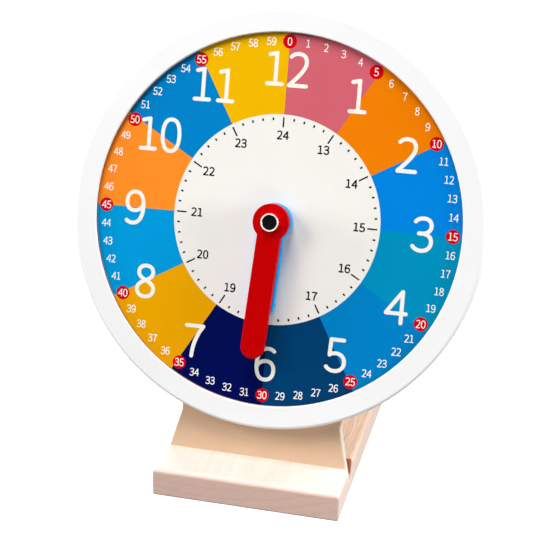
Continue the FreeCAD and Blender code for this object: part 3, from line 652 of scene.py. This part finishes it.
class CLOCK_OT_print_day(ClockOperator, bpy.types.Operator):
    """Print the numbers 13 to 24, the hour ticks and the small marks between them"""

    bl_idname = "clock.print_day"
    bl_label = "Print the day ring"

    def execute(self, context):
        sizes = self.sizes(context)
        ink = sizes["ink"]
        dark = ink_finish("dark ink", context.scene.clock_print_colours.dark_ink)
        numbers, marks = [], []
        for hour in range(13, 25):
            across, up = on_circle(sizes["day_radius"], hour / 12)
            across += DAY_SHIFTS.get(hour, DAY_SHIFT)
            numbers += inked_number(hour, across, up + DAY_RISE, sizes["day_height"],
                                    sizes["day_stroke"], INK_FOOT, ink, advance=4.5)
        for minute in range(60):
            inner, outer, width = sizes["tick_inner"], sizes["tick_outer"], sizes["tick_width"]
            if minute % 5:
                inner = sizes["mark_radius"] - sizes["mark_length"] / 2
                outer = sizes["mark_radius"] + sizes["mark_length"] / 2
                width = sizes["mark_width"]
            line = [on_circle(inner, minute / 60), on_circle(outer, minute / 60)]
            marks.append(ink_stroke(line, width, INK_FOOT, ink, round_ends=False))
        build_piece("day_numbers", numbers, dark, "stand")
        build_piece("hour_ticks", marks, dark, "stand")
        return {"FINISHED"}


class CLOCK_OT_finish_wood(ClockOperator, bpy.types.Operator):
    """Finish the pine stand, its packing strip and the beech knob"""

    bl_idname = "clock.finish_wood"
    bl_label = "Finish the wood"

    def execute(self, context):
        tints = context.scene.clock_finishes
        self.finish_stand(tints)
        self.finish_strip(tints)
        self.finish_knob(tints)
        return {"FINISHED"}

    def finish_stand(self, tints):
        """Sealed pine, grained from front to back. Its rings show most on top, towards the back, where
        the
        early wood also turns tan: painted shade from the dial. Inside the slot it is painted a darker
        brown as shade.
        """
        pine = Finish("sealed pine")
        place = pine.place("part")
        _, depth, _ = pine.split(place)
        _, endward, upward = pine.split(pine.normal)
        # Painted shade: towards the back, and most on faces that look up, the early wood is blended to
        # the shaded tan; the same mask deepens the real rings and lines there.
        back_shade_and_grain = pine.number("MULTIPLY", pine.between(depth, 0.1, 0.75, start=-62, end=-25),
                             pine.ramp(upward, [(0.3, 0.3), (0.85, 1)]))
        early = pine.blend(pine.number("MULTIPLY", back_shade_and_grain, 1.3), tints.pine, tints.pine_tan)
        grained, fibre = pine.wood(place, along=1, pith=(34, 0, -96), ring=3.4, early=early,
                                   late=tints.pine_ring, depth=back_shade_and_grain)
        lines = pine.noise(pine.vector("MULTIPLY", place, (1, 0.018, 1)), 1.15, 3)
        lines = pine.ramp(lines, [(0.44, 0), (0.52, 0.8), (0.58, 0)])
        grained = pine.blend(pine.number("MULTIPLY", lines, back_shade_and_grain), grained, tints.pine_ring)
        on_end = pine.ramp(pine.number("ABSOLUTE", endward), [(0.8, 0), (0.98, 1)])
        outside = pine.blend(on_end, grained, self.end_grain(pine, place, tints.pine_end))
        # Painted shade: the walls and the floor of the slot take the darker slot colour.
        pine.set(base_color=pine.blend(self.inside_slot(pine, place), outside, tints.slot),
                 roughness=pine.between(fibre, 0.46, 0.62), specular_ior_level=0.25)
        pine.bump(fibre, 0.03)
        assign(pine, "stand_base")

    def end_grain(self, pine, place, tint):
        """Rings cut across, as bands about a pith above the block, with pores and drying checks."""
        checks = pine.noise(pine.vector("MULTIPLY", place, (0.16, 1, 0.5)), 0.9, 3, 0.6)
        pores = pine.number("MULTIPLY", pine.between(pine.noise(place, 2.4, 2, 0.7), 0.95, 1.03),
                            pine.between(checks, 1.04, 0.93))
        from_pith = pine.vector("SUBTRACT", place, (-30, 0, 95))
        reach = pine.vector("LENGTH", pine.vector("MULTIPLY", from_pith, (0.6, 0, 1)))
        bands = pine.ramp(pine.number("FRACT", pine.number("DIVIDE", reach, 7)),
                          [(0, 1.02), (0.6, 1), (0.92, 0.955), (1, 1.02)])
        return pine.shaded(tint, pine.number("MULTIPLY", pores, bands))

    def inside_slot(self, pine, place):
        """1 on the walls and the floor of the stand's slot, where the pine takes its painted shade, and 0
        elsewhere.
        """
        across, _, _ = pine.split(pine.normal)
        _, depth, level = pine.split(place)
        inside = pine.number("LESS_THAN", pine.number("ABSOLUTE", across), 0.5)
        for value, (low, high) in ((depth, SLOT_DEPTHS), (level, SLOT_LEVELS)):
            inside = pine.number("MULTIPLY", inside, pine.number("GREATER_THAN", value, low))
            inside = pine.number("MULTIPLY", inside, pine.number("LESS_THAN", value, high))
        return inside

    def finish_strip(self, tints):
        """Plain pine, grained along the slot, and darkened to 0.86: painted shade, as the strip sits in
        the slot.
        """
        strip = Finish("plain pine")
        grained, fibre = strip.wood(strip.place(), along=0, pith=(0, -160, -60), ring=3.1,
                                    early=tints.pine, late=tints.pine_ring)
        # Painted shade: the strip's grain is darkened to 0.86, standing in for the shade of the slot it
        # sits in.
        strip.set(base_color=strip.shaded(grained, 0.86), roughness=strip.between(fibre, 0.6, 0.75))
        strip.bump(fibre, 0.05)
        assign(strip, "slot_wedge")

    def finish_knob(self, tints):
        """Turned beech with short dark flecks, under a thin clear coat."""
        beech = Finish("turned beech")
        place = beech.place()
        grained, fibre = beech.wood(place, along=0, pith=(0, 60, 40), ring=2.6, early=tints.beech,
                                    late=tints.beech_ring, depth=0.5)
        flecks = beech.noise(beech.vector("MULTIPLY", place, (0.5, 2.2, 1)), 1.1, 2, 0.4)
        ray = beech.ramp(flecks, [(0.62, 1), (0.7, 0.86)])
        beech.set(base_color=beech.vector("MULTIPLY", grained, ray),
                  roughness=beech.between(fibre, 0.36, 0.5), coat_weight=0.25, coat_roughness=0.2)
        beech.bump(fibre, 0.02)
        assign(beech, "setting_knob")


class CLOCK_OT_finish_paint(ClockOperator, bpy.types.Operator):
    """Finish the white rim, the back board, the spacer and the two hands"""

    bl_idname = "clock.finish_paint"
    bl_label = "Finish the painted wood"

    def execute(self, context):
        tints = context.scene.clock_finishes
        self.paint_rim(tints)
        self.paint_board(tints)
        self.leave_spacer(tints)
        self.lacquer_hand("red lacquer", tints.red, "minute_hand")
        self.lacquer_hand("blue lacquer", tints.blue, "hour_hand")
        return {"FINISHED"}

    def paint_rim(self, tints):
        """White paint with a soft peel, and raw fibreboard on the wall of the opening."""
        rim = Finish("white rim paint")
        place = rim.place()
        _, _, level = rim.split(place)
        inside = rim.number("MULTIPLY", rim.number("LESS_THAN", rim.radius(place), BARE_RADIUS),
                            rim.number("LESS_THAN", level, BARE_LEVEL))
        raw = rim.shaded(tints.fibreboard, rim.between(rim.noise(place, 1.4, 4, 0.7), 0.75, 1.15))
        peel = rim.noise(place, 0.8, 2)
        cloud = rim.between(rim.noise(place, 0.02, 2), 0.985, 1.005)
        rim.set(base_color=rim.blend(inside, rim.shaded(tints.rim, cloud), raw),
                roughness=rim.between(peel, 0.3, 0.4), specular_ior_level=0.45)
        rim.bump(peel, 0.012)
        assign(rim, "face_rim")

    def paint_board(self, tints):
        """Beige on the board's two faces, and off-white on its edge."""
        board = Finish("beige board")
        place = board.place()
        facing = board.number("ABSOLUTE", board.vector("DOT_PRODUCT", board.normal, OUT))
        on_face = board.number("GREATER_THAN", facing, 0.6)
        fibre = board.noise(board.vector("MULTIPLY", place, (1, 0.35, 1)), 1.2, 4, 0.65)
        cloud = board.between(board.noise(place, 0.035, 3), 0.94, 1.04)
        face = board.shaded(board.shaded(tints.board_face, cloud), board.between(fibre, 0.965, 1.025))
        board.set(base_color=board.blend(on_face, tints.board_edge, face),
                  roughness=board.between(fibre, 0.42, 0.55), specular_ior_level=0.4)
        board.bump(fibre, 0.015)
        assign(board, "back_board")

    def leave_spacer(self, tints):
        """Raw fibreboard on the spacer behind the dial."""
        core = Finish("raw fibreboard")
        fluff = core.noise(core.place(), 1.5, 5, 0.7)
        core.set(base_color=core.shaded(tints.fibreboard, core.between(fluff, 0.75, 1.2)),
                 roughness=core.between(fluff, 0.75, 0.9))
        core.bump(fluff, 0.06)
        assign(core, "dial_spacer")

    def lacquer_hand(self, name, tint, node):
        """A hand's smooth lacquer, with a faint peel."""
        hand = Finish(name)
        place = hand.place()
        peel = hand.noise(place, 0.55, 2)
        cover = hand.between(hand.noise(place, 0.05, 3), 0.95, 1.03)
        hand.set(base_color=hand.shaded(tint, cover), roughness=hand.between(peel, 0.3, 0.4),
                 specular_ior_level=0.03)
        hand.bump(peel, 0.014)
        assign(hand, node)


class CLOCK_OT_finish_metal(ClockOperator, bpy.types.Operator):
    """Finish the bright ferrule, and the brass, steel and zinc pieces"""

    bl_idname = "clock.finish_metal"
    bl_label = "Finish the metal"

    def execute(self, context):
        tints = context.scene.clock_finishes
        # Painted reflection: the ferrule's outward faces are mostly white diffuse colour, standing in for
        # the chrome's mirror image of the pale studio.
        self.turn_metal("satin chrome", tints.chrome, 0.002, (0.2, 0.3), "hub_ferrule", front_metallic=0.25)
        self.turn_metal("turned brass", tints.brass, 0.01, (0.22, 0.36),
                        "dial_bush", "back_bush", "hour_pipe")
        self.turn_metal("turned steel", tints.steel, 0.01, (0.2, 0.36),
                        "minute_arbor", "idler_stud", "idler_washer", "spring_washer")
        self.turn_metal("zinc plate", tints.zinc, 0.006, (0.3, 0.48), "back_screws", "knob_screw")
        return {"FINISHED"}

    def turn_metal(self, name, tint, groove, gloss, *nodes, front_metallic=1.0):
        """Metal from a lathe, with grooves so deep that follow the radius and the level. Where the metal
        share for the front is under 1, the faces that look out of the dial are less metal and show the
        tint as plain white colour: painted reflection of the pale studio, in place of a mirror."""
        metal = Finish(name)
        place = metal.place()
        _, _, level = metal.split(place)
        grooves = metal.add("ShaderNodeTexNoise", noise_dimensions="1D")
        metal.feed(grooves.inputs["W"], metal.number("ADD", metal.radius(place), level))
        grooves.inputs["Scale"].default_value = 9
        stain = metal.noise(place, 0.6, 3)
        metal.set(base_color=metal.shaded(tint, metal.between(stain, 0.92, 1.02)), metallic=front_metallic,
                  roughness=metal.between(stain, *gloss))
        # Painted reflection: faces that look out of the dial get less metal, so their tint shows as white
        # colour.
        if front_metallic < 1:
            facing = metal.vector("DOT_PRODUCT", metal.normal, OUT)
            metal.set(metallic=metal.ramp(facing, [(0.5, 1), (0.9, front_metallic)]))
        metal.bump(grooves.outputs["Fac"], groove)
        assign(metal, *nodes)


class CLOCK_OT_finish_plastic(ClockOperator, bpy.types.Operator):
    """Finish the black plug and collar, and the moulded gears"""

    bl_idname = "clock.finish_plastic"
    bl_label = "Finish the plastic"

    def execute(self, context):
        tints = context.scene.clock_finishes
        self.finish_black(tints)
        self.finish_gears(tints)
        return {"FINISHED"}

    def finish_black(self, tints):
        """Black plastic with a fine matt grain."""
        black = Finish("black plastic")
        grain = black.noise(black.place(), 4.5, 3, 0.6)
        black.set(base_color=black.shaded(tints.black, black.between(grain, 0.8, 1.4)),
                  roughness=black.between(grain, 0.35, 0.55), specular_ior_level=0.05)
        black.bump(grain, 0.012)
        assign(black, "hub_plug", "hand_collar")

    def finish_gears(self, tints):
        """Moulded acetal, which lets a little light into itself."""
        gear = Finish("natural acetal")
        flow = gear.noise(gear.place(), 0.25, 3)
        gear.set(base_color=gear.shaded(tints.acetal, gear.between(flow, 0.95, 1.02)),
                 roughness=gear.between(flow, 0.34, 0.46), subsurface_weight=0.15,
                 subsurface_radius=(2 * MM, 1.8 * MM, 1.4 * MM))
        gear.bump(flow, 0.01)
        assign(gear, "drive_pinion", "idler_wheel", "idler_pinion", "hour_wheel")


class CLOCK_OT_set_studio(ClockOperator, bpy.types.Operator):
    """Set the pale floor, the soft lights and the camera"""

    bl_idname = "clock.set_studio"
    bl_label = "Set the studio"

    def execute(self, context):
        scene = context.scene
        studio = scene.clock_studio
        self.lay_floor(scene)
        for name, (place, size, target) in LIGHTS.items():
            self.hang_light(scene, f"{name} light", place, size, target, getattr(studio, name))
        room = bpy.data.worlds.new("room")
        room.use_nodes = True
        sky = room.node_tree.nodes["Background"]
        sky.inputs["Color"].default_value = (1, 1, 1, 1)
        sky.inputs["Strength"].default_value = studio.room
        scene.world = room
        room.cycles_visibility.diffuse = False
        scene.view_settings.view_transform = "Standard"
        self.set_camera(scene, studio)
        return {"FINISHED"}

    def lay_floor(self, scene):
        """A round floor at level 0: rings of growing radius, with faces that look up."""
        turn = np.linspace(0, 2 * np.pi, FLOOR_SIDES, endpoint=False)
        radii = np.array(FLOOR_RADII)[:, None]
        level = np.zeros((len(FLOOR_RADII), FLOOR_SIDES))
        points = np.stack([radii * np.cos(turn), radii * np.sin(turn), level], axis=-1)
        faces = [loop[::-1] for loop in ring_faces(len(FLOOR_RADII), FLOOR_SIDES)]
        mesh = bpy.data.meshes.new("floor")
        mesh.from_pydata(points.reshape(-1, 3).tolist(), [], [list(range(FLOOR_SIDES))] + faces)
        paper = Finish("white paper")
        tooth = paper.noise(paper.place("part"), 0.4, 3)
        paper.set(base_color=paper.shaded((0.93, 0.93, 0.93), paper.between(tooth, 0.99, 1.0)),
                  roughness=0.9, emission_color=(1, 1, 1),
                  emission_strength=scene.clock_studio.paper_glow)
        mesh.materials.append(paper.material)
        floor = bpy.data.objects.new("floor", mesh)
        floor.visible_diffuse = False
        floor.visible_glossy = False
        scene.collection.objects.link(floor)

    def hang_light(self, scene, name, place, size, target, watts):
        """A soft rectangular light that faces its target and doesn't show in the picture."""
        lamp = bpy.data.lights.new(name, "AREA")
        lamp.shape = "RECTANGLE"
        lamp.size, lamp.size_y = size
        lamp.energy = watts
        holder = bpy.data.objects.new(name, lamp)
        holder.location = place
        holder.rotation_euler = (target - Vector(place)).to_track_quat("-Z", "Y").to_euler()
        holder.visible_camera = False
        scene.collection.objects.link(holder)

    def set_camera(self, scene, studio):
        """Dial to camera is Rz(roll) Rx(tilt) Ry(turn) and an offset, so the camera stands at
        minus the offset, turned back, in the dial frame."""
        seen = (Matrix.Rotation(studio.view_roll, 3, "Z") @ Matrix.Rotation(studio.view_tilt, 3, "X")
                @ Matrix.Rotation(studio.view_turn, 3, "Y"))
        dial = Matrix((ACROSS, UP, OUT))
        turned = (seen @ dial).transposed()
        lens = bpy.data.cameras.new("camera")
        lens.lens = studio.lens
        lens.sensor_width = SENSOR_WIDTH
        camera = bpy.data.objects.new("camera", lens)
        stands_at = DIAL_MIDDLE - turned @ Vector(studio.view_offset)
        camera.matrix_world = Matrix.Translation(stands_at) @ turned.to_4x4()
        scene.collection.objects.link(camera)
        scene.camera = camera


class CLOCK_PT_panel(bpy.types.Panel):
    """The clock's steps and settings, in the sidebar of the 3D view"""

    bl_label = "Teaching Clock"
    bl_idname = "CLOCK_PT_panel"
    bl_space_type = "VIEW_3D"
    bl_region_type = "UI"
    bl_category = "Clock"

    def draw(self, context):
        for step in STEPS:
            self.layout.operator(step.bl_idname)
        for name in GROUPS:
            box = self.layout.box()
            box.label(text=name.replace("_", " ").capitalize())
            group = getattr(context.scene, name)
            for setting in group.bl_rna.properties.keys():
                if setting not in ("rna_type", "name"):
                    box.prop(group, setting)


GROUPS = {
    "clock_print_sizes": CLOCK_PG_print_sizes,
    "clock_print_colours": CLOCK_PG_print_colours,
    "clock_finishes": CLOCK_PG_finishes,
    "clock_studio": CLOCK_PG_studio,
}
STEPS = [
    CLOCK_OT_set_studio, CLOCK_OT_print_dial, CLOCK_OT_print_hours, CLOCK_OT_print_minutes,
    CLOCK_OT_print_day, CLOCK_OT_finish_wood, CLOCK_OT_finish_paint, CLOCK_OT_finish_metal,
    CLOCK_OT_finish_plastic,
]


def register():
    for item in [*GROUPS.values(), *STEPS, CLOCK_PT_panel]:
        bpy.utils.register_class(item)
    for name, group in GROUPS.items():
        setattr(bpy.types.Scene, name, PointerProperty(type=group))


def unregister():
    for name in GROUPS:
        delattr(bpy.types.Scene, name)
    for item in reversed([*GROUPS.values(), *STEPS, CLOCK_PT_panel]):
        bpy.utils.unregister_class(item)


def main():
    register()
    for step in STEPS:
        group, name = step.bl_idname.split(".")
        getattr(getattr(bpy.ops, group), name)()


if __name__ == "__main__":
    main()
